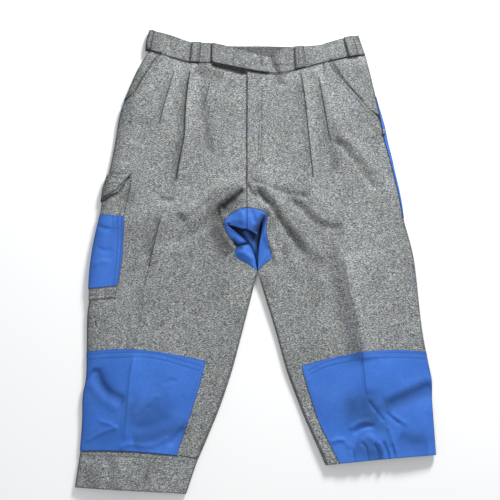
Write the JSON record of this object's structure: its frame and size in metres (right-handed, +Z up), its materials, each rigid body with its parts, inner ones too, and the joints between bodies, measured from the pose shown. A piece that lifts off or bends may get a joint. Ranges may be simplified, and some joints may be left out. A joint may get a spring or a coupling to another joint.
{
  "type": "knee breeches",
  "caption": "Grey wool knee breeches laid flat, with a pleated front, a pointed waistband tab, a blue crotch gusset, blue knee and seat patches and a thigh pocket.",
  "frame": {"origin": "middle of the outline, on the surface that the breeches lie on", "axes": "+Y up the body to the waist, +X to the wearer's left, +Z up from the surface, on the side of the front"},
  "size_m": [0.579, 0.8, 0.0176],
  "materials": {
    "wool": "milled melange wool",
    "canvas": "matte woven",
    "metal": "satin"
  },
  "bodies": {
    "root": {"front_right": "wool", "front_left": "wool", "back_right": "wool", "back_left": "wool", "seat_patch_right": "canvas", "seat_patch_left": "canvas", "gusset_right": "canvas", "gusset_left": "canvas", "gusset_back": "canvas", "waistband_right": "wool", "waistband_left": "wool", "belt_loop_front_right": "wool", "belt_loop_front_left": "wool", "belt_loop_side_right": "wool", "belt_loop_side_left": "wool", "belt_loop_back": "wool", "pocket_facing_right": "wool", "pocket_facing_left": "wool", "cargo_pocket": "wool", "cargo_panel": "canvas", "cargo_flap": "wool", "knee_patch_right": "canvas", "knee_patch_left": "canvas", "hem_band_right": "wool", "hem_band_left": "wool", "zip_slider": "metal"}
  },
  "joints": []
}
